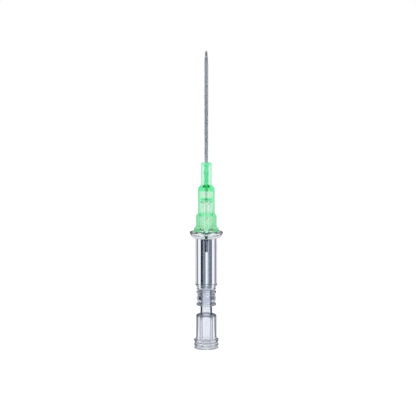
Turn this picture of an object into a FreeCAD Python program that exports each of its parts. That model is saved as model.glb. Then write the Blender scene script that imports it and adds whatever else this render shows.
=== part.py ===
import FreeCAD, Part
import math
import os

# Straight peripheral IV cannula, standing on the foot of its vent plug.
# Millimetres. Z runs up the common axis, from the foot at Z = 0 to the needle point.
# The point's ground face looks towards -Y.

# Vent plug: foot with finger grooves, thick body, hollow male cone
foot_radius = 3.83
foot_height = 2.85
foot_edge = 0.1
groove_depth = 0.3
groove_width = 0.85
groove_pitch = 1.3
groove_count = 2
first_groove_height = 0.6
plug_body_radius = 3.2
plug_body_height = 10.75
shoulder_drop = 0.6
plug_cone_radius = 1.87
plug_cone_length = 8.0
plug_bore_radius = 1.38
plug_tip_wall = 0.35
plug_tip_height = 1.0
plug_tip_radius = 0.45
plug_tip_hole_radius = 0.22
recess_radius = 2.85
recess_depth = 2.25

# Vent filter: porous disc pressed up into the recess of the foot
filter_thickness = 0.75

# Needle hub and flash chamber: ringed socket, barrel, flange, male nose
socket_engagement = 6.15
sleeve_core_radius = 2.76
sleeve_ring_radius = 3.06
end_ring_height = 0.6
ring_spacing = 0.6
bulge_height = 2.05
mid_ring_height = 0.65
top_ring_height = 1.1
barrel_radius = 3.4
barrel_length = 15.1
barrel_edge = 0.25
chamber_radius = 1.2
chamber_roof_drop = 0.9
boss_root_radius = 1.02
boss_end_radius = 0.56
boss_length = 2.2
flange_radius = 5.2
flange_thickness = 0.75
flange_edge = 0.2
flange_skirt_height = 1.2
flange_skirt_radius = 4.05
flange_skirt_bulge = 0.12
nose_length = 10.1
nose_edge = 0.2

# Luer tapers: six per cent on the diameter
luer_slope = 0.03
luer_mouth_radius = 2.15

# Adhesive well in the end of the male nose
well_radius = 1.1
well_floor_radius = 0.62
well_depth = 1.6
bead_climb = 0.25

# Needle: 20 gauge steel tube with a lancet point
needle_radius = 0.45
needle_bore_radius = 0.3
needle_tail = 6.4
bevel_angle = 22.0
lancet_angle = 32.0
lancet_turn = 40.0

# Catheter hub: rim, two stepped bodies, nose with a flared mouth
rim_radius = 3.88
rim_height = 0.85
rim_chamfer_height = 0.75
rear_body_radius = 3.2
rear_body_height = 4.95
rear_step_height = 0.7
front_body_radius = 2.6
front_body_height = 13.1
shoulder_height = 1.35
shoulder_bulge = 0.22
hub_nose_radius = 1.66
hub_height = 21.45
cavity_height = 12.7
cavity_roof_height = 1.05
mouth_flare_radius = 1.3
mouth_flare_depth = 1.45
hub_edge = 0.12

# Catheter tube and the wedge that clamps it
tube_radius = 0.65
tube_wall = 0.17
tube_reach = 32.3
tube_tip_radius = 0.53
tube_tip_length = 2.2
wedge_length = 4.6
wedge_wall = 0.11
wedge_flare_radius = 0.98
wedge_flare_height = 0.85
expansion_height = 0.9

# Clearances
taper_clearance = 0.03
needle_clearance = 0.03
press_clearance = 0.01
seat_gap = 0.05

# Heights of the stack
cone_shoulder_z = plug_body_height + plug_cone_length
plug_tip_z = cone_shoulder_z + plug_tip_height
plug_cone_end_radius = plug_cone_radius - luer_slope * plug_cone_length
plug_tip_slope = plug_tip_height / (plug_cone_end_radius - plug_tip_radius)
sleeve_end_z = plug_tip_z - socket_engagement
sleeve_length = end_ring_height + bulge_height + mid_ring_height + top_ring_height + 3 * ring_spacing
barrel_z = sleeve_end_z + sleeve_length
skirt_z = barrel_z + barrel_length
flange_z = skirt_z + flange_skirt_height
nose_z = flange_z + flange_thickness
nose_tip_z = nose_z + nose_length
hub_z = nose_z + seat_gap
hub_top_z = hub_z + hub_height
tube_tip_z = hub_top_z + tube_reach
bevel_length = 2 * needle_radius / math.tan(math.radians(bevel_angle))
needle_tip_z = tube_tip_z + seat_gap + bevel_length
needle_tail_z = nose_z - needle_tail


def point(radius, height):
    """A point of a half section, in the XZ plane."""
    return FreeCAD.Vector(radius, 0, height)


def turned(outline):
    """Solid of revolution about Z from the corners (r, z) of its closed half section."""
    corners = [point(*corner) for corner in outline]
    face = Part.Face(Part.makePolygon(corners + corners[:1]))
    return face.revolve(point(0, 0), point(0, 1), 360)


def bow(start, end, rise, steps):
    """Corners after start on a circular arc to end, which rises to the left of its way."""
    run = (end[0] - start[0], end[1] - start[1])
    sweep = 4 * math.atan(2 * rise / math.hypot(*run))
    corners = []
    for number in range(1, steps + 1):
        turn = sweep * number / steps
        reach = math.sin(turn / 2) / math.sin(sweep / 2)
        lean = (sweep - turn) / 2
        along, across = reach * math.cos(lean), reach * math.sin(lean)
        corners.append((start[0] + along * run[0] - across * run[1],
                        start[1] + along * run[1] + across * run[0]))
    return corners


def plug_cone_at(height):
    """Outer radius of the plug's male cone at a height."""
    return plug_cone_radius - luer_slope * (height - plug_body_height)


def luer_cavity_at(height):
    """Radius of the catheter hub's female taper at a height."""
    return luer_mouth_radius - luer_slope * (height - hub_z)


def male_nose_at(height):
    """Radius of the needle hub's male nose at a height."""
    return luer_cavity_at(height) - taper_clearance


def vent_plug():
    """Grooved foot, thick body with a rounded shoulder, hollow cone pierced at its tip."""
    outline = [(recess_radius, 0), (foot_radius - foot_edge, 0), (foot_radius, foot_edge)]
    for number in range(groove_count):
        middle = first_groove_height + number * groove_pitch
        start = (foot_radius, middle - groove_width / 2)
        end = (foot_radius, middle + groove_width / 2)
        outline += [start] + bow(start, end, groove_depth, 3)

    valley_z = plug_body_height - shoulder_drop
    shoulder_start = (plug_body_radius, valley_z)
    shoulder_end = (plug_cone_at(valley_z), valley_z)
    outline += [
        (foot_radius, foot_height - foot_edge),
        (foot_radius - foot_edge, foot_height),
        (plug_body_radius, foot_height),
        shoulder_start,
    ]
    outline += bow(shoulder_start, shoulder_end, -shoulder_drop, 4)

    roof_drop = plug_tip_wall * math.hypot(1, plug_tip_slope)
    roof_z = plug_tip_z - plug_tip_wall
    roof_radius = plug_tip_radius - (roof_drop - plug_tip_wall) / plug_tip_slope
    bore_top_z = roof_z - (plug_bore_radius - roof_radius) * plug_tip_slope
    outline += [
        (plug_cone_at(cone_shoulder_z), cone_shoulder_z),
        (plug_tip_radius, plug_tip_z),
        (plug_tip_hole_radius, plug_tip_z),
        (plug_tip_hole_radius, roof_z),
        (roof_radius, roof_z),
        (plug_bore_radius, bore_top_z),
        (plug_bore_radius, recess_depth),
        (recess_radius, recess_depth),
    ]
    return turned(outline)


def vent_filter():
    """Porous disc against the roof of the foot's recess."""
    top = recess_depth - press_clearance
    bottom = top - filter_thickness
    radius = recess_radius - press_clearance
    return turned([(0, bottom), (radius, bottom), (radius, top), (0, top)])


def sleeve_rings():
    """Outer corners of the rear sleeve from its mouth to the barrel: rings, grooves, a bulge."""
    bands = (("ring", end_ring_height), ("bulge", bulge_height), ("ring", mid_ring_height),
             ("ring", top_ring_height))
    rise = sleeve_ring_radius - sleeve_core_radius
    outline = []
    low = sleeve_end_z
    for form, length in bands:
        top = low + length
        start, end = (sleeve_core_radius, low), (sleeve_core_radius, top)
        if form == "bulge":
            outline += [start] + bow(start, end, -rise, 3)
        else:
            outline += [start, (sleeve_ring_radius, low), (sleeve_ring_radius, top), end]
        low = top + ring_spacing
    return outline[1:-1]


def flash_chamber():
    """Clear moulding: ringed socket for the plug, chamber, flange and male luer nose."""
    needle_hole = needle_radius + press_clearance
    socket_roof_z = cone_shoulder_z + taper_clearance
    socket_roof_radius = plug_cone_at(socket_roof_z) + taper_clearance
    chamber_floor_z = socket_roof_z + (socket_roof_radius - chamber_radius) * plug_tip_slope
    boss_root_z = nose_z - chamber_roof_drop
    boss_end_z = boss_root_z - boss_length
    well_floor_z = nose_tip_z - well_depth
    skirt_end = (flange_radius - flange_edge, flange_z)

    outline = [(plug_cone_at(sleeve_end_z) + taper_clearance, sleeve_end_z)]
    outline += sleeve_rings()
    outline += [
        (barrel_radius - barrel_edge, barrel_z),
        (barrel_radius, barrel_z + barrel_edge),
        (barrel_radius, skirt_z),
        (flange_skirt_radius, skirt_z),
    ]
    outline += bow((flange_skirt_radius, skirt_z), skirt_end, -flange_skirt_bulge, 2)
    outline += [
        (flange_radius, flange_z + flange_edge),
        (flange_radius, nose_z - flange_edge),
        (flange_radius - flange_edge, nose_z),
        (male_nose_at(nose_z), nose_z),
        (male_nose_at(nose_tip_z - nose_edge), nose_tip_z - nose_edge),
        (male_nose_at(nose_tip_z) - nose_edge, nose_tip_z),
        (well_radius, nose_tip_z),
        (well_floor_radius, well_floor_z),
        (needle_hole, well_floor_z),
        (needle_hole, boss_end_z),
        (boss_end_radius, boss_end_z),
        (boss_root_radius, boss_root_z),
        (chamber_radius, boss_root_z),
        (chamber_radius, chamber_floor_z),
        (socket_roof_radius, socket_roof_z),
    ]
    return turned(outline)


def needle_adhesive():
    """Cured bead that fills the well and climbs a little up the needle."""
    inner = needle_radius + press_clearance
    bottom_z = nose_tip_z - well_depth + press_clearance
    top_z = nose_tip_z - seat_gap
    return turned([
        (inner, bottom_z),
        (well_floor_radius - press_clearance, bottom_z),
        (well_radius - 2 * press_clearance, top_z),
        (inner, top_z + bead_climb),
    ])


def bevel_cut(angle, turn):
    """Block that removes all metal in front of a plane through the point of the needle."""
    size = 40 * needle_radius
    block = Part.makeBox(size, size, size, FreeCAD.Vector(-size / 2, -size, -size / 2))
    block.rotate(FreeCAD.Vector(0, 0, 0), FreeCAD.Vector(1, 0, 0), -angle)
    block.translate(FreeCAD.Vector(0, needle_radius, needle_tip_z))
    block.rotate(FreeCAD.Vector(0, needle_radius, needle_tip_z), FreeCAD.Vector(0, 0, 1), turn)
    return block


def needle():
    """Steel tube with one main bevel and two side bevels that meet in the point."""
    tube = turned([
        (needle_bore_radius, needle_tail_z),
        (needle_radius, needle_tail_z),
        (needle_radius, needle_tip_z),
        (needle_bore_radius, needle_tip_z),
    ])
    cuts = [bevel_cut(bevel_angle, 0)]
    cuts += [bevel_cut(lancet_angle, turn) for turn in (lancet_turn, -lancet_turn)]
    return tube.cut(cuts).Solids[0]


# Radii inside the hub's nose, from the needle outwards
bore_over_needle = needle_radius + needle_clearance
wedge_radius = bore_over_needle + wedge_wall
expanded_bore = wedge_radius + press_clearance
expanded_radius = expanded_bore + tube_wall
tube_bore = tube_radius - tube_wall
flare_z = hub_z + cavity_height + cavity_roof_height
flare_top_z = flare_z + wedge_flare_height
wedge_top_z = flare_z + wedge_length
narrow_z = wedge_top_z + expansion_height


def catheter_wedge():
    """Thin steel eyelet with a funnel end, inside the tube's widened rear."""
    return turned([
        (wedge_flare_radius - wedge_wall, flare_z),
        (wedge_flare_radius, flare_z),
        (wedge_radius, flare_top_z),
        (wedge_radius, wedge_top_z),
        (bore_over_needle, wedge_top_z),
        (bore_over_needle, flare_top_z),
    ])


def catheter_tube():
    """Soft tube: tapered tip, straight shaft, rear end widened and flared over the wedge."""
    flare_bore = wedge_flare_radius + press_clearance
    return turned([
        (flare_bore, flare_z),
        (flare_bore + tube_wall, flare_z),
        (expanded_radius, flare_top_z),
        (expanded_radius, wedge_top_z),
        (tube_radius, narrow_z),
        (tube_radius, tube_tip_z - tube_tip_length),
        (tube_tip_radius, tube_tip_z),
        (tube_bore, tube_tip_z),
        (tube_bore, narrow_z),
        (expanded_bore, wedge_top_z),
        (expanded_bore, flare_top_z),
    ])


def catheter_hub():
    """Green moulding: female luer cavity, seat for the flared tube, bore and flared mouth."""
    step_z = hub_z + rear_body_height
    rim_top_z = hub_z + rim_height
    cavity_z = hub_z + cavity_height
    seat_radius = wedge_flare_radius + tube_wall + 2 * press_clearance
    seat_bore = expanded_radius + press_clearance
    nose_bore = tube_radius + press_clearance
    shoulder_start = (front_body_radius, hub_z + front_body_height)
    shoulder_end = (hub_nose_radius, hub_z + front_body_height + shoulder_height)
    outline = [
        (luer_cavity_at(hub_z), hub_z),
        (rim_radius, hub_z),
        (rim_radius, rim_top_z),
        (rear_body_radius, rim_top_z + rim_chamfer_height),
        (rear_body_radius, step_z),
        (front_body_radius, step_z + rear_step_height),
        shoulder_start,
    ]
    outline += bow(shoulder_start, shoulder_end, -shoulder_bulge, 3)
    outline += [
        (hub_nose_radius, hub_top_z - hub_edge),
        (hub_nose_radius - hub_edge, hub_top_z),
        (mouth_flare_radius, hub_top_z),
        (nose_bore, hub_top_z - mouth_flare_depth),
        (nose_bore, narrow_z + press_clearance),
        (seat_bore, wedge_top_z + press_clearance),
        (seat_bore, flare_top_z),
        (seat_radius, flare_z),
        (luer_cavity_at(cavity_z), cavity_z),
    ]
    return turned(outline)


parts = {
    "vent_plug": vent_plug,
    "vent_filter": vent_filter,
    "flash_chamber": flash_chamber,
    "needle_adhesive": needle_adhesive,
    "needle": needle,
    "catheter_wedge": catheter_wedge,
    "catheter_tube": catheter_tube,
    "catheter_hub": catheter_hub,
}

os.makedirs("parts", exist_ok=True)
for name, build in parts.items():
    shape = build()
    shape.exportStep(os.path.join("parts", name + ".step"))
    box = shape.BoundBox
    print(name, shape.ShapeType, shape.isValid(), round(shape.Volume, 3), "mm3",
          "Z", round(box.ZMin, 3), round(box.ZMax, 3), "R", round(box.XMax, 3))
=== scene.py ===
import math

import bmesh
import bpy
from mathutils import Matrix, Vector


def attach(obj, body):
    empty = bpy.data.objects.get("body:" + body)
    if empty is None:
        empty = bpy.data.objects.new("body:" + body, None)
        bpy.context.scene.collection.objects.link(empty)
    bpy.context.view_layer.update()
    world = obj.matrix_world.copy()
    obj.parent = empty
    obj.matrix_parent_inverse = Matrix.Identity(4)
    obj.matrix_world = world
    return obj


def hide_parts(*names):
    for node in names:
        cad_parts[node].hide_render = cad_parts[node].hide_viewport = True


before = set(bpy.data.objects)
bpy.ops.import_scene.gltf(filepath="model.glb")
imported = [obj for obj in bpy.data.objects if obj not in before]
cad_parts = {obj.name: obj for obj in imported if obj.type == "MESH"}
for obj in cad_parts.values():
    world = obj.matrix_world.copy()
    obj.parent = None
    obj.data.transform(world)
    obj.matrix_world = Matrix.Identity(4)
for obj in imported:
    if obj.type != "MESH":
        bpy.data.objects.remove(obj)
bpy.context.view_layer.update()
scene = bpy.context.scene

# Needle: a drawn stainless steel tube of 20 gauge, its end ground to a lancet point with a main
# bevel and two side bevels. The open tail stands in the flash chamber, where blood shows first.
# Sizes are in mm and degrees, and names in _z are heights over the foot of the whole cannula.
needle_radius = 0.45
needle_bore_radius = 0.3
needle_tail_z = 30.45
needle_tip_z = 92.928
bevel_angle = 22
lancet_angle = 32
lancet_turn = 40
draw_line_spacing = 0.0333
silicone_patch = 1.11
micron = 1e-6
sweep_radius = 10

# A Mix node has sockets of one name for each kind of data. These are the ones for its colours.
colour_a, colour_b, mixed = 6, 7, 2


def node(tree, kind, inputs=(), **settings):
    """Adds a node with its settings; inputs pairs a socket with a value or another node's output."""
    made = tree.nodes.new(kind)
    for setting, value in settings.items():
        setattr(made, setting, value)
    for socket, value in dict(inputs).items():
        if isinstance(value, bpy.types.NodeSocket):
            tree.links.new(value, made.inputs[socket])
        else:
            made.inputs[socket].default_value = value
    return made


def linear(hex_colour):
    """Linear RGBA of an sRGB hex colour."""
    channels = [int(hex_colour[at:at + 2], 16) / 255 for at in (1, 3, 5)]
    return [c / 12.92 if c <= 0.04045 else ((c + 0.055) / 1.055) ** 2.4 for c in channels] + [1.0]


def material(name):
    """An empty material and its node tree."""
    made = bpy.data.materials.new(name)
    made.use_nodes = True
    made.node_tree.nodes.clear()
    return made, made.node_tree


# One tree turns every moulding and tube: it rounds the corners of the half outline, sweeps it
# round the axis and closes the seam.
turning = bpy.data.node_groups.new("turned_about_the_axis", "GeometryNodeTree")
for label, kind, way in (("Outline", "NodeSocketGeometry", "INPUT"),
                         ("Segments", "NodeSocketInt", "INPUT"),
                         ("Corner Steps", "NodeSocketInt", "INPUT"),
                         ("Finish", "NodeSocketMaterial", "INPUT"),
                         ("Piece", "NodeSocketGeometry", "OUTPUT")):
    turning.interface.new_socket(label, in_out=way, socket_type=kind)
sizes = node(turning, "NodeGroupInput").outputs
line = node(turning, "GeometryNodeMeshToCurve", {"Mesh": sizes["Outline"]})
corner = node(turning, "GeometryNodeInputNamedAttribute", {"Name": "corner_radius"},
              data_type="FLOAT")
rounded = node(turning, "GeometryNodeFilletCurve", {
    "Curve": line.outputs["Curve"], "Count": sizes["Corner Steps"],
    "Radius": corner.outputs["Attribute"], "Limit Radius": True}, mode="POLY")
circle = node(turning, "GeometryNodeCurvePrimitiveCircle", {
    "Resolution": sizes["Segments"], "Radius": sweep_radius / 1000})
swept = node(turning, "GeometryNodeCurveToMesh", {
    "Curve": circle.outputs["Curve"], "Profile Curve": rounded.outputs["Curve"]})
closed = node(turning, "GeometryNodeMergeByDistance", {
    "Geometry": swept.outputs["Mesh"], "Distance": micron})
finished = node(turning, "GeometryNodeSetMaterial", {
    "Geometry": closed.outputs["Geometry"], "Material": sizes["Finish"]})
node(turning, "NodeGroupOutput", {"Piece": finished.outputs["Geometry"]})


def turned(name, outline, finish, segments=128, corner_steps=4):
    """A turned piece from its outline's corners (radius, height, corner radius), in mm.
    The profile hangs head down from the sweep's circle, so that it ends up the right way."""
    mesh = bpy.data.meshes.new(name + "_outline")
    spots = [((radius - sweep_radius) / 1000, -height / 1000, 0) for radius, height, *_ in outline]
    count = len(spots)
    ends = count if outline[0][0] > 0 else count - 1
    mesh.from_pydata(spots, [(at, (at + 1) % count) for at in range(ends)], [])
    radii = mesh.attributes.new("corner_radius", "FLOAT", "POINT")
    radii.data.foreach_set("value", [(spot[2] if len(spot) > 2 else 0) / 1000 for spot in outline])
    blank = bpy.data.objects.new(name + "_blank", mesh)
    scene.collection.objects.link(blank)
    lathe = blank.modifiers.new("turning", "NODES")
    lathe.node_group = turning
    for label, value in (("Segments", segments), ("Corner Steps", corner_steps),
                         ("Finish", finish)):
        lathe[turning.interface.items_tree[label].identifier] = value
    graph = bpy.context.evaluated_depsgraph_get()
    solid = bpy.data.meshes.new_from_object(blank.evaluated_get(graph))
    bpy.data.objects.remove(blank)
    shell = bmesh.new()
    shell.from_mesh(solid)
    bmesh.ops.recalc_face_normals(shell, faces=shell.faces)
    for face in shell.faces:
        face.smooth = True
    shell.to_mesh(solid)
    shell.free()
    piece = bpy.data.objects.new(name, solid)
    scene.collection.objects.link(piece)
    return piece


def even_shade(piece):
    """Keeps long walls true beside their rounded corners, so that they refract evenly."""
    weigh = piece.modifiers.new("even shade", "WEIGHTED_NORMAL")
    weigh.keep_sharp = True


# Stainless steel of the needle, drawn through a die: fine lines along the tube, drawn wide enough
# to show, break up its highlights, and a thin film of silicone softens the gloss in patches.
steel, tree = material("stainless_steel_drawn")
place = node(tree, "ShaderNodeTexCoord").outputs["Object"]
stretch = node(tree, "ShaderNodeMapping", {"Vector": place, "Scale": (1, 1, 0.02)})
lines = node(tree, "ShaderNodeTexNoise", {
    "Vector": stretch.outputs["Vector"], "Scale": 1000 / draw_line_spacing, "Detail": 2})
patches = node(tree, "ShaderNodeTexNoise", {
    "Vector": place, "Scale": 1000 / silicone_patch, "Detail": 3})
tone = node(tree, "ShaderNodeMix", {
    "Factor": lines.outputs["Fac"], colour_a: linear("#E4E5E9"), colour_b: linear("#F2F2F4")},
    data_type="RGBA")
gloss = node(tree, "ShaderNodeMapRange", {
    "Value": patches.outputs["Fac"], "To Min": 0.08, "To Max": 0.18})
relief = node(tree, "ShaderNodeBump", {
    "Height": lines.outputs["Fac"], "Distance": 2 * micron, "Strength": 0.4})
skin = node(tree, "ShaderNodeBsdfPrincipled", {
    "Base Color": tone.outputs[mixed], "Metallic": 1.0, "Roughness": gloss.outputs["Result"],
    "Normal": relief.outputs["Normal"]})
node(tree, "ShaderNodeOutputMaterial", {"Surface": skin.outputs["BSDF"]})

needle = turned("needle_tube", [
    (needle_bore_radius, needle_tail_z, 0.03), (needle_radius, needle_tail_z, 0.04),
    (needle_radius, needle_tip_z), (needle_bore_radius, needle_tip_z)], steel, segments=96)
point = bmesh.new()
point.from_mesh(needle.data)
for angle, turn in ((bevel_angle, 0), (lancet_angle, lancet_turn), (lancet_angle, -lancet_turn)):
    slope, turn = math.radians(angle), math.radians(turn)
    facing = (math.cos(slope) * math.sin(turn), -math.cos(slope) * math.cos(turn), math.sin(slope))
    bmesh.ops.bisect_plane(point, geom=point.verts[:] + point.edges[:] + point.faces[:],
                           plane_co=(0, needle_radius / 1000, needle_tip_z / 1000),
                           plane_no=facing, clear_outer=True)
    rim = [edge for edge in point.edges if edge.is_boundary]
    bmesh.ops.triangle_fill(point, edges=rim, use_beauty=True, normal=facing)
bmesh.ops.recalc_face_normals(point, faces=point.faces)
point.to_mesh(needle.data)
point.free()
needle.data.set_sharp_from_angle(angle=math.radians(30))
even_shade(needle)
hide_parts("needle")
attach(needle, "needle_unit")

# Needle hub and flash chamber: one moulding in clear polycarbonate. Ringed socket for the plug,
# barrel, bowl-shaped thumb flange, male luer nose with a well, and a boss round the needle's tail.
# The socket is the plug's cone with a clearance, so the sizes of the cone are here too.
luer_slope = 0.03
luer_mouth_radius = 2.15
taper_clearance = 0.03
press_clearance = 0.01
seat_gap = 0.05
plug_body_height = 10.75
plug_cone_radius = 1.87
plug_cone_length = 8
plug_tip_height = 1
plug_tip_radius = 0.45
socket_engagement = 6.15
sleeve_core_radius = 2.76
sleeve_ring_radius = 3.06
end_ring_height = 0.6
ring_spacing = 0.6
bulge_height = 2.05
mid_ring_height = 0.65
top_ring_height = 1.1
barrel_radius = 3.4
barrel_draft = 0.02
barrel_length = 15.1
chamber_radius = 1.2
chamber_roof_drop = 0.9
boss_root_radius = 1.02
boss_end_radius = 0.56
boss_length = 2.2
flange_radius = 5.2
flange_thickness = 0.75
flange_edge = 0.2
flange_skirt_height = 1.2
flange_skirt_radius = 4.05
flange_skirt_bulge = 0.12
satin_radius = 3.9
nose_length = 10.1
nose_edge = 0.2
keyed_length = 0.9
well_radius = 1.1
well_floor_radius = 0.62
well_depth = 1.6
flow_ripple = 1.43
spark_pit = 0.05
margin = 0.05

cone_shoulder_z = plug_body_height + plug_cone_length
plug_tip_z = cone_shoulder_z + plug_tip_height
plug_cone_end_radius = plug_cone_radius - luer_slope * plug_cone_length
plug_tip_slope = plug_tip_height / (plug_cone_end_radius - plug_tip_radius)
sleeve_end_z = plug_tip_z - socket_engagement
bulge_z = sleeve_end_z + end_ring_height + ring_spacing
mid_ring_z = bulge_z + bulge_height + ring_spacing
top_ring_z = mid_ring_z + mid_ring_height + ring_spacing
barrel_z = top_ring_z + top_ring_height
skirt_z = barrel_z + barrel_length
flange_z = skirt_z + flange_skirt_height
nose_z = flange_z + flange_thickness
nose_tip_z = nose_z + nose_length
keyed_z = nose_tip_z - keyed_length
well_z = nose_tip_z - well_depth
chamber_roof_z = nose_z - chamber_roof_drop
boss_z = chamber_roof_z - boss_length
hub_z = nose_z + seat_gap


def plug_cone_at(height):
    """Outer radius of the plug's male cone at a height."""
    return plug_cone_radius - luer_slope * (height - plug_body_height)


def luer_cavity_at(height):
    """Radius of the catheter hub's female luer taper at a height."""
    return luer_mouth_radius - luer_slope * (height - hub_z)


def male_nose_at(height):
    """Radius of the male luer nose at a height, a clearance inside the hub's taper."""
    return luer_cavity_at(height) - taper_clearance


def bow(start, end, rise, steps):
    """Corners between start and end on an arc, which rises to the left of its way."""
    run = (end[0] - start[0], end[1] - start[1])
    sweep = 4 * math.atan(2 * rise / math.hypot(*run))
    corners = []
    for number in range(1, steps):
        turn = sweep * number / steps
        reach = math.sin(turn / 2) / math.sin(sweep / 2)
        lean = (sweep - turn) / 2
        along, across = reach * math.cos(lean), reach * math.sin(lean)
        corners.append((start[0] + along * run[0] - across * run[1],
                        start[1] + along * run[1] + across * run[0]))
    return corners


def finish_at(piece, finish, *places):
    """Gives a finish to the faces whose middles lie in one of the places, each of which is
    (inner radius, outer radius, lower height, upper height), in mm. A margin in a place keeps
    rounded corners in or out."""
    piece.data.materials.append(finish)
    slot = len(piece.data.materials) - 1
    for face in piece.data.polygons:
        reach = math.hypot(face.center.x, face.center.y) * 1000
        height = face.center.z * 1000
        if any(inner < reach < outer and low < height < high
               for inner, outer, low, high in places):
            face.material_index = slot


# Clear polycarbonate from a polished mould: bright, with a very faint flow ripple, and slightly
# satin on the outer part of the thumb flange, where fingers rub it.
polycarbonate, tree = material("polycarbonate_clear_moulded")
place = node(tree, "ShaderNodeTexCoord").outputs["Object"]
flow = node(tree, "ShaderNodeMapping", {"Vector": place, "Scale": (1, 1, 0.35)})
ripple = node(tree, "ShaderNodeTexNoise", {
    "Vector": flow.outputs["Vector"], "Scale": 1000 / flow_ripple, "Detail": 1})
relief = node(tree, "ShaderNodeBump", {
    "Height": ripple.outputs["Fac"], "Distance": 10 * micron, "Strength": 0.6})
flat = node(tree, "ShaderNodeVectorMath", {0: place, 1: (1, 1, 0)}, operation="MULTIPLY")
reach = node(tree, "ShaderNodeVectorMath", {0: flat.outputs["Vector"]}, operation="LENGTH")
rubbed = node(tree, "ShaderNodeMath", {0: reach.outputs["Value"], 1: satin_radius / 1000},
              operation="GREATER_THAN")
frost = node(tree, "ShaderNodeMath", {0: rubbed.outputs["Value"], 1: 0.06}, operation="MULTIPLY")
skin = node(tree, "ShaderNodeBsdfPrincipled", {
    "Base Color": linear("#F0F2F7"), "Roughness": frost.outputs["Value"], "IOR": 1.5,
    "Transmission Weight": 1.0, "Normal": relief.outputs["Normal"]})
node(tree, "ShaderNodeOutputMaterial", {"Surface": skin.outputs["BSDF"]})


def painted_aslant(name, start, end, shade, ior=1.5):
    """Clear polycarbonate whose colour is painted towards a shade the more it is seen aslant:
    painted shade at its edges, and a painted highlight where the shade is white. start and end
    are how far a face has turned away, from 0 for face-on to 1 for edge-on."""
    made, tree = material(name)
    rake = node(tree, "ShaderNodeLayerWeight", {"Blend": 0.5})
    dim = node(tree, "ShaderNodeMapRange", {
        "Value": rake.outputs["Facing"], "From Min": start, "From Max": end},
        interpolation_type="SMOOTHSTEP")
    tone = node(tree, "ShaderNodeMix", {
        "Factor": dim.outputs["Result"], colour_a: linear("#F0F2F7"), colour_b: linear(shade)},
        data_type="RGBA")
    skin = node(tree, "ShaderNodeBsdfPrincipled", {
        "Base Color": tone.outputs[mixed], "Roughness": 0.0, "IOR": ior,
        "Transmission Weight": 1.0})
    node(tree, "ShaderNodeOutputMaterial", {"Surface": skin.outputs["BSDF"]})
    return made


# The same plastic with painted shade on the chamber's faces off the core pins: their colour turns
# grey where the wall is seen aslant, so the chamber is bright along its middle and grey beside
# that, and the boss is painted grey all over.
chamber_painted_shade = painted_aslant("polycarbonate_clear_chamber_painted_shade", 0.005, 0.07, "#8F98A3")
boss_painted_shade = painted_aslant("polycarbonate_clear_boss_painted_shade", 0.0, 0.05, "#7E858C")

# The same plastic wetted with silicone at the end of the socket: a cone that hardly bends light.
# Its colour is painted whiter the more it is seen aslant, a painted highlight on its edges.
end_cone = painted_aslant("polycarbonate_clear_end_cone_painted_highlight", 0.1, 0.9, "#FFFFFF", ior=1.1)

# The same plastic spark-eroded matt at the end of the nose and in its well, to key the adhesive
# that wets it: a pale, soft-edged end without bright or dark lines.
keyed, tree = material("polycarbonate_spark_eroded")
place = node(tree, "ShaderNodeTexCoord").outputs["Object"]
pits = node(tree, "ShaderNodeTexNoise", {"Vector": place, "Scale": 1000 / spark_pit, "Detail": 2})
relief = node(tree, "ShaderNodeBump", {
    "Height": pits.outputs["Fac"], "Distance": 4 * micron, "Strength": 0.4})
skin = node(tree, "ShaderNodeBsdfPrincipled", {
    "Base Color": linear("#F4F7F4"), "Roughness": 0.35, "IOR": 1.04, "Transmission Weight": 1.0,
    "Alpha": 0.2, "Normal": relief.outputs["Normal"]})
node(tree, "ShaderNodeOutputMaterial", {"Surface": skin.outputs["BSDF"]})

socket_roof_z = cone_shoulder_z + taper_clearance
socket_roof_radius = plug_cone_at(socket_roof_z) + taper_clearance
fit_radius = needle_radius + press_clearance
flange_face_radius = flange_radius - flange_edge
chamber_end_z = socket_roof_z + (socket_roof_radius - chamber_radius) * plug_tip_slope
outline = [(plug_cone_at(sleeve_end_z) + taper_clearance, sleeve_end_z, 0.12),
           (sleeve_ring_radius, sleeve_end_z, 0.14),
           (sleeve_ring_radius, bulge_z - ring_spacing, 0.14),
           (sleeve_core_radius, bulge_z - ring_spacing, 0.1), (sleeve_core_radius, bulge_z, 0.1)]
outline += bow((sleeve_core_radius, bulge_z), (sleeve_core_radius, bulge_z + bulge_height),
               sleeve_core_radius - sleeve_ring_radius, 16)
outline += [(sleeve_core_radius, bulge_z + bulge_height, 0.1),
            (sleeve_core_radius, mid_ring_z, 0.1), (sleeve_ring_radius, mid_ring_z, 0.14),
            (sleeve_ring_radius, top_ring_z - ring_spacing, 0.14),
            (sleeve_core_radius, top_ring_z - ring_spacing, 0.1),
            (sleeve_core_radius, top_ring_z, 0.1), (sleeve_ring_radius, top_ring_z, 0.14),
            (sleeve_ring_radius, barrel_z, 0.05), (barrel_radius - barrel_draft, barrel_z, 0.25),
            (barrel_radius, skirt_z, 0.15), (flange_skirt_radius, skirt_z, 0.12)]
outline += bow((flange_skirt_radius, skirt_z), (flange_face_radius, flange_z),
               -flange_skirt_bulge, 10)
outline += [(flange_face_radius, flange_z, 0.15), (flange_radius, flange_z + flange_edge, 0.15),
            (flange_radius, nose_z - flange_edge, 0.15), (flange_face_radius, nose_z, 0.15),
            (male_nose_at(nose_z), nose_z, 0.12), (male_nose_at(keyed_z), keyed_z),
            (male_nose_at(nose_tip_z - nose_edge), nose_tip_z - nose_edge, 0.12),
            (male_nose_at(nose_tip_z) - nose_edge, nose_tip_z, 0.06),
            (well_radius, nose_tip_z, 0.06), (well_floor_radius, well_z, 0.06),
            (fit_radius, well_z, 0.02), (fit_radius, boss_z, 0.02),
            (boss_end_radius, boss_z, 0.05), (boss_root_radius, chamber_roof_z, 0.1),
            (chamber_radius, chamber_roof_z, 0.08), (chamber_radius, chamber_end_z, 0.15),
            (socket_roof_radius, socket_roof_z, 0.1)]
chamber = turned("needle_hub_moulding", outline, polycarbonate)
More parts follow.
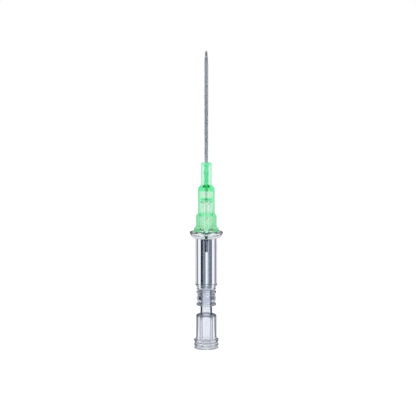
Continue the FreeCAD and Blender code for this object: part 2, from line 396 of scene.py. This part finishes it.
# Painted shade on the chamber's walls and on the boss, and a painted highlight on the socket's end
# cone.
finish_at(chamber, chamber_painted_shade,
          (0, chamber_radius + margin, chamber_end_z + 2 * margin, chamber_roof_z - margin))
finish_at(chamber, keyed, (0, luer_mouth_radius, keyed_z + margin, nose_tip_z + margin),
          (0, well_radius + margin, well_z - margin, nose_tip_z + margin))
finish_at(chamber, end_cone,
          (0, socket_roof_radius - margin, cone_shoulder_z - margin, chamber_end_z + 2 * margin))
finish_at(chamber, boss_painted_shade,
          (0, chamber_radius + margin, boss_z - margin, chamber_roof_z + margin))
even_shade(chamber)
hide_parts("flash_chamber")
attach(chamber, "needle_unit")

# Adhesive: a bead of light-cured acrylic that fills the well of the nose and climbs a little up
# the needle. It is put in as a drop, so its top is a smooth meniscus.
bead_climb = 0.25
bead_top_z = nose_tip_z - 0.05
bead_top_radius = well_radius - 0.02
bubble_spacing = 0.2

# Cured acrylic, clear and faintly yellow, with tiny bubbles that leave soft dull dots in it.
acrylic, tree = material("acrylic_adhesive_cured")
place = node(tree, "ShaderNodeTexCoord").outputs["Object"]
bubbles = node(tree, "ShaderNodeTexVoronoi", {"Vector": place, "Scale": 1000 / bubble_spacing})
speck = node(tree, "ShaderNodeMapRange", {
    "Value": bubbles.outputs["Distance"], "From Min": 0.1, "From Max": 0.25,
    "To Min": 0.5, "To Max": 0.1})
relief = node(tree, "ShaderNodeBump", {
    "Height": bubbles.outputs["Distance"], "Distance": 3 * micron, "Strength": 0.3})
skin = node(tree, "ShaderNodeBsdfPrincipled", {
    "Base Color": linear("#EFEFE2"), "Roughness": speck.outputs["Result"], "IOR": 1.5,
    "Transmission Weight": 1.0, "Alpha": 0.15, "Normal": relief.outputs["Normal"]})
node(tree, "ShaderNodeOutputMaterial", {"Surface": skin.outputs["BSDF"]})

bead_crest = (fit_radius, bead_top_z + bead_climb)
outline = [(fit_radius, well_z + press_clearance, 0.02),
           (well_floor_radius - press_clearance, well_z + press_clearance, 0.05),
           (bead_top_radius, bead_top_z, 0.04)]
outline += bow((bead_top_radius, bead_top_z), bead_crest, 0.05, 8) + [bead_crest]
bead = turned("adhesive_bead", outline, acrylic, segments=96)
even_shade(bead)
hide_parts("needle_adhesive")
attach(bead, "needle_unit")

# Vent plug: one moulding in clear polycarbonate. Finger grooves round its foot, a thick body with
# a rounded shoulder, and a hollow male cone that closes the chamber, pierced at its tip for air.
foot_radius = 3.83
foot_height = 2.85
groove_count = 2
groove_depth = 0.3
groove_width = 0.85
groove_pitch = 1.3
first_groove_height = 0.6
plug_body_radius = 3.2
shoulder_drop = 0.6
plug_bore_radius = 1.38
plug_tip_wall = 0.35
plug_tip_hole_radius = 0.22
recess_radius = 2.85
recess_depth = 2.25
shoulder_z = plug_body_height - shoulder_drop
tip_roof_z = plug_tip_z - plug_tip_wall
tip_roof_radius = plug_tip_radius - plug_tip_wall * (
    math.hypot(1, plug_tip_slope) - 1) / plug_tip_slope

outline = [(recess_radius, 0, 0.1), (foot_radius, 0, 0.12)]
for number in range(groove_count):
    middle = first_groove_height + number * groove_pitch
    start, end = (foot_radius, middle - groove_width / 2), (foot_radius, middle + groove_width / 2)
    outline += [(*start, 0.12)] + bow(start, end, groove_depth, 12) + [(*end, 0.12)]
outline += [(foot_radius, foot_height, 0.12), (plug_body_radius, foot_height, 0.12),
            (plug_body_radius, shoulder_z)]
outline += bow((plug_body_radius, shoulder_z), (plug_cone_at(shoulder_z), shoulder_z),
               -shoulder_drop, 18)
outline += [(plug_cone_at(shoulder_z), shoulder_z),
            (plug_cone_at(cone_shoulder_z), cone_shoulder_z, 0.12),
            (plug_tip_radius, plug_tip_z, 0.08), (plug_tip_hole_radius, plug_tip_z, 0.04),
            (plug_tip_hole_radius, tip_roof_z, 0.04), (tip_roof_radius, tip_roof_z, 0.05),
            (plug_bore_radius,
             tip_roof_z - (plug_bore_radius - tip_roof_radius) * plug_tip_slope, 0.12),
            (plug_bore_radius, recess_depth, 0.08), (recess_radius, recess_depth, 0.06)]
plug = turned("vent_plug_moulding", outline, polycarbonate)

# The plug's clear plastic is thick. Its colour has painted shade: grey lines where walls are seen
# aslant, strong ones on the cone and faint ones on the body, and a band round the shoulder that
# is painted grey at nearly every angle.
finish_at(plug, painted_aslant("polycarbonate_clear_taper_painted_shade", 0.15, 0.35, "#454A55"),
          (plug_bore_radius + margin, foot_radius,
           plug_body_height, plug_tip_z - plug_tip_height / 2))
finish_at(plug, painted_aslant("polycarbonate_clear_body_painted_shade", 0.4, 0.65, "#7C808C"),
          (plug_body_radius - margin, foot_radius, foot_height + margin, shoulder_z))
finish_at(plug, painted_aslant("polycarbonate_clear_shoulder_painted_shade", 0.0, 0.05, "#5E636E"),
          (plug_cone_at(shoulder_z) + 0.03, foot_radius, shoulder_z, plug_body_height + margin))
even_shade(plug)
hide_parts("vent_plug")
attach(plug, "plug")

# Vent filter: a disc punched from sintered polyethylene and pressed up into the foot's recess. It
# lets air out of the chamber and holds the blood back.
filter_thickness = 0.75
filter_top_z = recess_depth - press_clearance
filter_radius = recess_radius - press_clearance
filter_grain = 0.1515

# Sintered polyethylene: white grains of 0.15 mm, run together with dark pores between them.
sintered, tree = material("polyethylene_sintered")
place = node(tree, "ShaderNodeTexCoord").outputs["Object"]
grains = node(tree, "ShaderNodeTexVoronoi", {"Vector": place, "Scale": 1000 / filter_grain},
              feature="F1")
pores = node(tree, "ShaderNodeMapRange", {
    "Value": grains.outputs["Distance"], "From Min": 0.2, "From Max": 0.8})
shade = node(tree, "ShaderNodeMix", {
    "Factor": pores.outputs["Result"], colour_a: linear("#F1F1F2"), colour_b: linear("#C3C4C8")},
    data_type="RGBA")
relief = node(tree, "ShaderNodeBump", {
    "Height": grains.outputs["Distance"], "Distance": 50 * micron, "Strength": 0.8}, invert=True)
skin = node(tree, "ShaderNodeBsdfPrincipled", {
    "Base Color": shade.outputs[mixed], "Roughness": 0.7, "IOR": 1.05,
    "Transmission Weight": 1.0, "Normal": relief.outputs["Normal"]})
node(tree, "ShaderNodeOutputMaterial", {"Surface": skin.outputs["BSDF"]})

disc = turned("vent_filter_disc", [
    (0, filter_top_z - filter_thickness), (filter_radius, filter_top_z - filter_thickness, 0.04),
    (filter_radius, filter_top_z, 0.04), (0, filter_top_z)], sintered)
even_shade(disc)
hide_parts("vent_filter")
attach(disc, "plug")

# Wedge: a thin eyelet drawn from stainless steel sheet, with a funnel end. Pushed up inside the
# tube's widened rear, it clamps the tube in the hub's nose.
cavity_height = 12.7
cavity_roof_height = 1.05
needle_clearance = 0.03
wedge_length = 4.6
wedge_wall = 0.11
wedge_flare_radius = 0.98
wedge_flare_height = 0.85
cavity_z = hub_z + cavity_height
flare_z = cavity_z + cavity_roof_height
flare_top_z = flare_z + wedge_flare_height
wedge_top_z = flare_z + wedge_length
bore_over_needle = needle_radius + needle_clearance
wedge_radius = bore_over_needle + wedge_wall

wedge = turned("wedge_eyelet", [
    (wedge_flare_radius - wedge_wall, flare_z, 0.02), (wedge_flare_radius, flare_z, 0.03),
    (wedge_radius, flare_top_z, 0.15), (wedge_radius, wedge_top_z, 0.04),
    (bore_over_needle, wedge_top_z, 0.03), (bore_over_needle, flare_top_z, 0.15)],
    steel, segments=96)
even_shade(wedge)
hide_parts("catheter_wedge")
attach(wedge, "catheter")

# Catheter tube: fluoropolymer, extruded, its tip drawn down to a fine edge on the needle and its
# rear end widened and flared over the wedge.
hub_height = 21.45
tube_radius = 0.65
tube_wall = 0.17
tube_reach = 32.3
tube_tip_radius = 0.53
tube_tip_length = 2.2
expansion_height = 0.9
extrusion_line_spacing = 0.125
hub_top_z = hub_z + hub_height
tube_tip_z = hub_top_z + tube_reach
narrow_z = wedge_top_z + expansion_height
tube_bore = tube_radius - tube_wall
expanded_bore = wedge_radius + press_clearance
expanded_radius = expanded_bore + tube_wall
flared_bore = wedge_flare_radius + press_clearance
flared_radius = flared_bore + tube_wall

# Extruded fluoropolymer: milky clear and waxy, with faint die lines along it that blur what is
# seen through it.
fluoropolymer, tree = material("fluoropolymer_extruded")
place = node(tree, "ShaderNodeTexCoord").outputs["Object"]
stretch = node(tree, "ShaderNodeMapping", {"Vector": place, "Scale": (1, 1, 0.03)})
lines = node(tree, "ShaderNodeTexNoise", {
    "Vector": stretch.outputs["Vector"], "Scale": 1000 / extrusion_line_spacing, "Detail": 2})
gloss = node(tree, "ShaderNodeMapRange", {
    "Value": lines.outputs["Fac"], "To Min": 0.14, "To Max": 0.22})
relief = node(tree, "ShaderNodeBump", {
    "Height": lines.outputs["Fac"], "Distance": 3 * micron, "Strength": 0.3})
skin = node(tree, "ShaderNodeBsdfPrincipled", {
    "Base Color": linear("#E4E7EC"), "Roughness": gloss.outputs["Result"], "IOR": 1.18,
    "Transmission Weight": 0.9, "Normal": relief.outputs["Normal"]})
node(tree, "ShaderNodeOutputMaterial", {"Surface": skin.outputs["BSDF"]})

tube = turned("catheter_tube_extrusion", [
    (flared_bore, flare_z, 0.03), (flared_radius, flare_z, 0.04),
    (expanded_radius, flare_top_z, 0.15), (expanded_radius, wedge_top_z, 0.15),
    (tube_radius, narrow_z, 0.3), (tube_radius, tube_tip_z - tube_tip_length, 0.6),
    (tube_tip_radius, tube_tip_z, 0.02), (tube_bore, tube_tip_z, 0.01), (tube_bore, narrow_z, 0.3),
    (expanded_bore, wedge_top_z, 0.1), (expanded_bore, flare_top_z, 0.1)],
    fluoropolymer, segments=96)
even_shade(tube)
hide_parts("catheter_tube")
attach(tube, "catheter")

# Catheter hub: one moulding in translucent green polypropylene, the colour of 18 gauge. Locking
# rim, two stepped bodies over the female luer taper, and a nose with a flared mouth for the tube.
rim_radius = 3.88
rim_height = 0.85
rim_chamfer_height = 0.75
rear_body_radius = 3.2
rear_body_height = 4.95
rear_step_height = 0.7
front_body_radius = 2.6
front_body_height = 13.1
shoulder_height = 1.35
shoulder_bulge = 0.22
hub_nose_radius = 1.66
mouth_flare_radius = 1.3
mouth_flare_depth = 1.45
cavity_side_radius = 2.25
nose_bore_side_radius = 1.45
cavity_side_end_z = 50.2
hub_ripple = 1.11
dye_per_metre = 170


def banded(tree, value, stops, unit=1.0):
    """Colour output that follows a value through stops of (place in units, sRGB hex)."""
    low, high = stops[0][0], stops[-1][0]
    along = node(tree, "ShaderNodeMapRange", {
        "Value": value, "From Min": low * unit, "From Max": high * unit})
    made = node(tree, "ShaderNodeValToRGB", {"Fac": along.outputs["Result"]})
    elements = made.color_ramp.elements
    while len(elements) < len(stops):
        elements.new(1.0)
    for element, (place, colour) in zip(elements, stops):
        element.position, element.color = (place - low) / (high - low), linear(colour)
    return made.outputs["Color"]


# Moulded green polypropylene: milky, so that light goes through it but outlines blur. Its colour
# is painted with shade: a deeper green where it is seen aslant, and bands along the height in mm,
# given in two lists for the outside and for the inside: darker at the step, the shoulder, the end
# of the male nose, the cavity's roof, round the wedge's flare and up the nose's bore, and painted
# paler on the outside of the nose.
polypropylene, tree = material("polypropylene_green_moulded")
place = node(tree, "ShaderNodeTexCoord").outputs["Object"]
flow = node(tree, "ShaderNodeMapping", {"Vector": place, "Scale": (1, 1, 0.3)})
ripple = node(tree, "ShaderNodeTexNoise", {
    "Vector": flow.outputs["Vector"], "Scale": 1000 / hub_ripple, "Detail": 2})
gloss = node(tree, "ShaderNodeMapRange", {
    "Value": ripple.outputs["Fac"], "To Min": 0.1, "To Max": 0.22})
relief = node(tree, "ShaderNodeBump", {
    "Height": ripple.outputs["Fac"], "Distance": 10 * micron, "Strength": 0.6})
height = node(tree, "ShaderNodeSeparateXYZ", {"Vector": place}).outputs["Z"]
# Painted shade: the colour turns a deeper green where the hub is seen aslant.
rake = node(tree, "ShaderNodeLayerWeight", {"Blend": 0.5})
edge = node(tree, "ShaderNodeMapRange", {
    "Value": rake.outputs["Facing"], "From Min": 0.22, "From Max": 0.42},
    interpolation_type="SMOOTHSTEP")
aslant_shade = node(tree, "ShaderNodeMix", {
    "Factor": edge.outputs["Result"], colour_a: linear("#FFFFFF"), colour_b: linear("#BCF6DC")},
    data_type="RGBA")
# Painted shade and light on the outer faces: darker green bands at the step and the shoulder, and
# paler on the nose.
outside = banded(tree, height, (
    (36, "#E2F2E6"), (41.7, "#E2F2E6"), (41.9, "#9EF6C2"), (42.5, "#9EF6C2"), (42.7, "#EDF5EF"),
    (49.1, "#EDF5EF"), (49.6, "#AAF9D6"), (51, "#AAF9D6"), (51.6, "#FFF8FF")), unit=0.001)
outside = node(tree, "ShaderNodeMix", {
    "Factor": 1.0, colour_a: outside, colour_b: aslant_shade.outputs[mixed]},
    data_type="RGBA", blend_type="MULTIPLY")
# Painted shade on the inner faces: darker green bands at the male nose's end and the cavity's roof,
# and deep green round the wedge's flare and up the nose's bore.
inside = banded(tree, height, (
    (46, "#EDFAF2"), (46.6, "#81F9BC"), (47.2, "#81F9BC"), (47.35, "#EDFAF2"),
    (49.6, "#EDFAF2"), (49.8, "#BEFAD6"), (50.5, "#BEFAD6"), (50.6, "#12D265"),
    (51.4, "#12D265"), (51.7, "#80FFBC")), unit=0.001)
flat = node(tree, "ShaderNodeVectorMath", {0: place, 1: (1, 1, 0)}, operation="MULTIPLY")
reach = node(tree, "ShaderNodeVectorMath", {0: flat.outputs["Vector"]}, operation="LENGTH")
limit = node(tree, "ShaderNodeMapRange", {
    "Value": height, "From Min": cavity_side_end_z / 1000,
    "From Max": (cavity_side_end_z + 0.1) / 1000, "To Min": cavity_side_radius / 1000,
    "To Max": nose_bore_side_radius / 1000})
inner_face = node(tree, "ShaderNodeMath", {
    0: reach.outputs["Value"], 1: limit.outputs["Result"]}, operation="LESS_THAN")
tone = node(tree, "ShaderNodeMix", {
    "Factor": inner_face.outputs["Value"], colour_a: outside.outputs[mixed], colour_b: inside},
    data_type="RGBA")
skin = node(tree, "ShaderNodeBsdfPrincipled", {
    "Base Color": tone.outputs[mixed], "Roughness": gloss.outputs["Result"], "IOR": 1.04,
    "Transmission Weight": 1.0, "Coat Weight": 0.6, "Coat Roughness": 0.12, "Coat IOR": 1.49,
    "Normal": relief.outputs["Normal"]})
depth = node(tree, "ShaderNodeVolumeAbsorption", {
    "Color": linear("#38E790"), "Density": dye_per_metre})
node(tree, "ShaderNodeOutputMaterial", {
    "Surface": skin.outputs["BSDF"], "Volume": depth.outputs["Volume"]})

hub_shoulder_z = hub_z + front_body_height
hub_nose_z = hub_shoulder_z + shoulder_height
chamfer_z = hub_z + rim_height
step_z = hub_z + rear_body_height
outline = [(luer_cavity_at(hub_z), hub_z, 0.08), (rim_radius, hub_z, 0.1),
           (rim_radius, chamfer_z, 0.12), (rear_body_radius, chamfer_z + rim_chamfer_height, 0.12),
           (rear_body_radius, step_z, 0.12), (front_body_radius, step_z + rear_step_height, 0.12),
           (front_body_radius, hub_shoulder_z)]
outline += bow((front_body_radius, hub_shoulder_z), (hub_nose_radius, hub_nose_z),
               -shoulder_bulge, 12)
outline += [(hub_nose_radius, hub_nose_z, 0.08), (hub_nose_radius, hub_top_z, 0.12),
            (mouth_flare_radius, hub_top_z, 0.08),
            (tube_radius + press_clearance, hub_top_z - mouth_flare_depth, 0.1),
            (tube_radius + press_clearance, narrow_z + press_clearance, 0.05),
            (expanded_radius + press_clearance, wedge_top_z + press_clearance, 0.05),
            (expanded_radius + press_clearance, flare_top_z, 0.05),
            (flared_radius + press_clearance, flare_z, 0.03),
            (luer_cavity_at(cavity_z), cavity_z, 0.15)]
hub = turned("catheter_hub_moulding", outline, polypropylene)
even_shade(hub)
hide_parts("catheter_hub")
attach(hub, "catheter")

# Studio: white to the eye, and through the clear pieces a white room with four narrow dark gaps,
# at 45 degrees to the axes, which draw the edges of clear plastic. Light thrown back inside a
# clear wall has come from the side, where the room is dark teal on the left and grey on the right.
studio = bpy.data.node_groups.new("studio_walls", "ShaderNodeTree")
studio.interface.new_socket("Way", in_out="INPUT", socket_type="NodeSocketVector")
studio.interface.new_socket("Light", in_out="OUTPUT", socket_type="NodeSocketColor")
given = node(studio, "NodeGroupInput")
path = node(studio, "ShaderNodeLightPath").outputs
way = node(studio, "ShaderNodeVectorMath", {0: given.outputs["Way"]}, operation="NORMALIZE")
rise = node(studio, "ShaderNodeSeparateXYZ", {"Vector": way.outputs["Vector"]}).outputs["Z"]
flat = node(studio, "ShaderNodeVectorMath", {0: way.outputs["Vector"], 1: (1, 1, 0)},
            operation="MULTIPLY")
level = node(studio, "ShaderNodeVectorMath", {0: flat.outputs["Vector"]}, operation="NORMALIZE")
compass = node(studio, "ShaderNodeSeparateXYZ", {"Vector": level.outputs["Vector"]}).outputs
azimuth = node(studio, "ShaderNodeMath", {0: compass["Y"], 1: compass["X"]}, operation="ARCTAN2")
fold = node(studio, "ShaderNodeMath", {0: azimuth.outputs["Value"], 1: 4.0}, operation="MULTIPLY")
wave = node(studio, "ShaderNodeMath", {0: fold.outputs["Value"]}, operation="COSINE")
side = node(studio, "ShaderNodeMath", {0: compass["X"]}, operation="ABSOLUTE").outputs["Value"]

# Masks for parts of the room, soft-edged: 0 at the first value of a measure and 1 at the second.
# A way's rise is the sine of its slope. Through the pieces, the eye sees the floor at a rise under
# -0.74 behind the plug's body, -0.46 to -0.22 behind the barrel, -0.15 to -0.08 behind the front
# of the catheter's hub, and over -0.05 behind the tube.
mask = {}
for name, measure, none, full in (("gap", wave.outputs["Value"], -0.7, -0.95),
                                  ("past_sleeve", rise, -0.47, -0.45),
                                  ("before_flange", rise, -0.22, -0.235),
                                  ("behind_plug", rise, -0.737, -0.8),
                                  ("past_step", rise, -0.148, -0.135),
                                  ("before_mouth", rise, -0.078, -0.0854),
                                  ("behind_tube", rise, -0.052, -0.01),
                                  ("overhead", rise, 0.12, 0.3),
                                  ("behind_nose", rise, -0.12, -0.09),
                                  ("over_horizon", rise, 0.02, 0.06),
                                  ("under_ceiling", rise, 0.5, 0.3),
                                  ("at_right", compass["X"], 0.1, 0.6),
                                  ("at_back", compass["Y"], -0.1, 0.2),
                                  ("aside", side, 0.06, 0.2),
                                  ("far_aside", side, 0.25, 0.5)):
    mask[name] = node(studio, "ShaderNodeMapRange", {
        "Value": measure, "From Min": none, "From Max": full}).outputs["Result"]
for name, one, other in (("behind_barrel", "past_sleeve", "before_flange"),
                         ("behind_hub", "past_step", "before_mouth"),
                         ("low_walls", "over_horizon", "under_ceiling"),
                         ("low_back_wall", "low_walls", "at_back")):
    mask[name] = node(studio, "ShaderNodeMath", {0: mask[one], 1: mask[other]},
                      operation="MULTIPLY").outputs["Value"]

# How much of the light fades in milky plastic: nearly all below the flange, less above it.
mask["dusk_share"] = node(studio, "ShaderNodeMapRange", {
    "Value": rise, "From Min": -0.225, "From Max": -0.24, "To Min": 0.62,
    "To Max": 0.92}).outputs["Result"]

# What happened to the light on its way: more than a number of surfaces gone through or of times
# thrown back, and whether the last surface was polished.
for name, count, times in (("thrown_back", "Glossy Depth", 0),
                           ("through_plastic", "Transmission Depth", 0),
                           ("through_two_walls", "Transmission Depth", 3),
                           ("through_three_walls", "Transmission Depth", 5)):
    mask[name] = node(studio, "ShaderNodeMath", {0: path[count], 1: times + 0.5},
                      operation="GREATER_THAN").outputs["Value"]
mask["polished"] = path["Is Singular Ray"]
mask["seen_directly"] = path["Is Camera Ray"]

# The room's colours, linear where they are amounts of light. Those above 1 are brighter than white
# paper and make up for what the green hub holds back.
light = {"white": (1, 1, 1, 1), "black": (0, 0, 0, 1), "gap_grey": linear("#8A8E9A"),
         "teal": linear("#00222E"), "slate": linear("#6F7A84"), "haze": (0.9, 0.91, 0.93, 1),
         "soot": (0.08, 0.09, 0.11, 1), "lead": (0.3, 0.31, 0.34, 1),
         "pale": (0.7, 0.72, 0.76, 1), "ceiling": (0.8, 0.81, 0.84, 1),
         "milk": (0.9, 0.9, 0.93, 1), "mist": (0.55, 0.55, 0.6, 1),
         "pearl": (0.82, 0.82, 0.84, 1), "hub_wall": (1.2, 1.5, 1.3, 1),
         "hub_window": (1.15, 1.15, 1.05, 1), "nose_window": (2.0, 2.1, 1.9, 1),
         "hub_shade": (0.17, 0.22, 0.21, 1), "ambient": (0.85, 0.85, 0.85, 1),
         "reflected": (0.23, 0.24, 0.26, 1)}

# The white walls with their gaps, and the same behind the barrel, where they are darker to the
# left of the middle and brighter to the right.
gapped = node(studio, "ShaderNodeMix", {
    "Factor": mask["gap"], colour_a: light["white"], colour_b: light["gap_grey"]},
    data_type="RGBA")
across = banded(studio, compass["X"], (
    (-0.4, "#D5D5D5"), (-0.18, "#A8A8A8"), (-0.06, "#C0C0C0"), (0, "#D5D5D5"),
    (0.06, "#FFFFFF"), (0.32, "#FFFFFF"), (0.42, "#D5D5D5")))
brighter = node(studio, "ShaderNodeVectorMath", {0: across, 1: (1.5, 1.5, 1.5)},
                operation="MULTIPLY")
light["gapped_walls"] = gapped.outputs[mixed]
shaded = node(studio, "ShaderNodeVectorMath", {
    0: brighter.outputs["Vector"], 1: light["gapped_walls"]}, operation="MULTIPLY")
light["barrel_walls"] = shaded.outputs["Vector"]

# Each row makes a light: its name, the mask that it depends on, and what it is without that mask
# and within it. A later row may use and replace an earlier light.
for name, where, without, within in (
        # Straight through polished walls.
        ("walls", "behind_barrel", "gapped_walls", "barrel_walls"),
        # Thrown back inside polished walls, so that it shows the sides of the room.
        ("ends", "at_right", "teal", "slate"),
        ("thrown", "aside", "haze", "ends"),
        ("foot_middle", "at_right", "soot", "lead"),
        ("foot", "far_aside", "foot_middle", "pale"),
        ("thrown", "behind_plug", "thrown", "foot"),
        ("thrown", "overhead", "thrown", "ceiling"),
        ("thrown_clear", "through_three_walls", "thrown", "milk"),
        ("clear", "thrown_back", "walls", "thrown_clear"),
        # The same by way of a satin or milky surface: the flange, the hub, the tube, the nose.
        ("dusk", "dusk_share", "thrown", "black"),
        ("dusk", "behind_tube", "dusk", "mist"),
        ("thrown_satin", "through_two_walls", "pearl", "dusk"),
        ("thrown_satin", "behind_hub", "thrown_satin", "hub_wall"),
        ("hub_light", "behind_nose", "hub_window", "nose_window"),
        ("hub_light", "low_back_wall", "hub_light", "hub_shade"),
        ("thrown_satin", "through_three_walls", "thrown_satin", "hub_light"),
        ("satin", "thrown_back", "white", "thrown_satin"),
        # All that went through plastic, all that only met it from outside, and the eye itself.
        ("through", "polished", "satin", "clear"),
        ("around", "thrown_back", "ambient", "reflected"),
        ("unseen", "through_plastic", "around", "through"),
        ("all", "seen_directly", "unseen", "white")):
    light[name] = node(studio, "ShaderNodeMix", {
        "Factor": mask[where], colour_a: light[without], colour_b: light[within]},
        data_type="RGBA").outputs[mixed]
node(studio, "NodeGroupOutput", {"Light": light["all"]})

# Table: a round white matt sheet that glows with the studio's own light and keeps a soft shadow.
# Each spot of it shows the room in the way in which it lies from a point 60 mm over the foot.
sheet_radius = 1.5
sheet_corners = 64
sheet_dullness = 0.78
sheet_glow = 0.86
paper, tree = material("paper_white_matt")
place = node(tree, "ShaderNodeTexCoord").outputs["Object"]
down = node(tree, "ShaderNodeVectorMath", {0: place, 1: (0, 0, -0.06)})
glow = node(tree, "ShaderNodeGroup", node_tree=studio)
tree.links.new(down.outputs["Vector"], glow.inputs["Way"])
dull = node(tree, "ShaderNodeMix", {
    "Factor": sheet_dullness, colour_a: glow.outputs["Light"], colour_b: light["black"]},
    data_type="RGBA")
matt = node(tree, "ShaderNodeBsdfDiffuse", {"Color": dull.outputs[mixed]})
lift = node(tree, "ShaderNodeEmission", {"Color": glow.outputs["Light"], "Strength": sheet_glow})
both = node(tree, "ShaderNodeAddShader", {0: matt.outputs["BSDF"], 1: lift.outputs["Emission"]})
node(tree, "ShaderNodeOutputMaterial", {"Surface": both.outputs["Shader"]})
sheet = bpy.data.meshes.new("table")
turns = [math.tau * number / sheet_corners for number in range(sheet_corners)]
around = [(sheet_radius * math.cos(turn), sheet_radius * math.sin(turn), 0) for turn in turns]
sheet.from_pydata(around, [], [range(sheet_corners)])
sheet.materials.append(paper)
table = bpy.data.objects.new("table", sheet)
scene.collection.objects.link(table)

# World: the same studio all round.
room = bpy.data.worlds.new("studio")
scene.world = room
room.use_nodes = True
tree = room.node_tree
tree.nodes.clear()
place = node(tree, "ShaderNodeTexCoord").outputs["Generated"]
glow = node(tree, "ShaderNodeGroup", node_tree=studio)
tree.links.new(place, glow.inputs["Way"])
sky = node(tree, "ShaderNodeBackground", {"Color": glow.outputs["Light"]})
node(tree, "ShaderNodeOutputWorld", {"Surface": sky.outputs["Background"]})

# Soft boxes: one high in front to the left and one behind to the right. They are dim, because the
# room gives most of the light, and they only draw soft highlights on the glossy skins.
for name, spot, size, power in (("front_box", (-0.35, -0.45, 0.45), 0.7, 0.9),
                                ("back_box", (0.4, 0.35, 0.4), 0.6, 0.7)):
    lamp = bpy.data.lights.new(name, "AREA")
    lamp.size = size
    lamp.energy = power
    box = bpy.data.objects.new(name, lamp)
    scene.collection.objects.link(box)
    box.location = spot
    box.visible_transmission = False
    box.rotation_mode = "QUATERNION"
    box.rotation_quaternion = box.location.to_track_quat("Z", "Y")

# Camera: level with the upper end of the object and 400 mm away, looking 6 degrees down.
lens = bpy.data.cameras.new("camera")
lens.sensor_width = 36
lens.lens = 111.9
lens.clip_start = 0.01
camera = bpy.data.objects.new("camera", lens)
scene.collection.objects.link(camera)
camera.location = (0, -0.4, 0.088)
aim = Vector((0.00053, 0, 0.0442))
camera.rotation_mode = "QUATERNION"
camera.rotation_quaternion = (camera.location - aim).to_track_quat("Z", "Y")
scene.camera = camera
scene.view_settings.view_transform = "Standard"
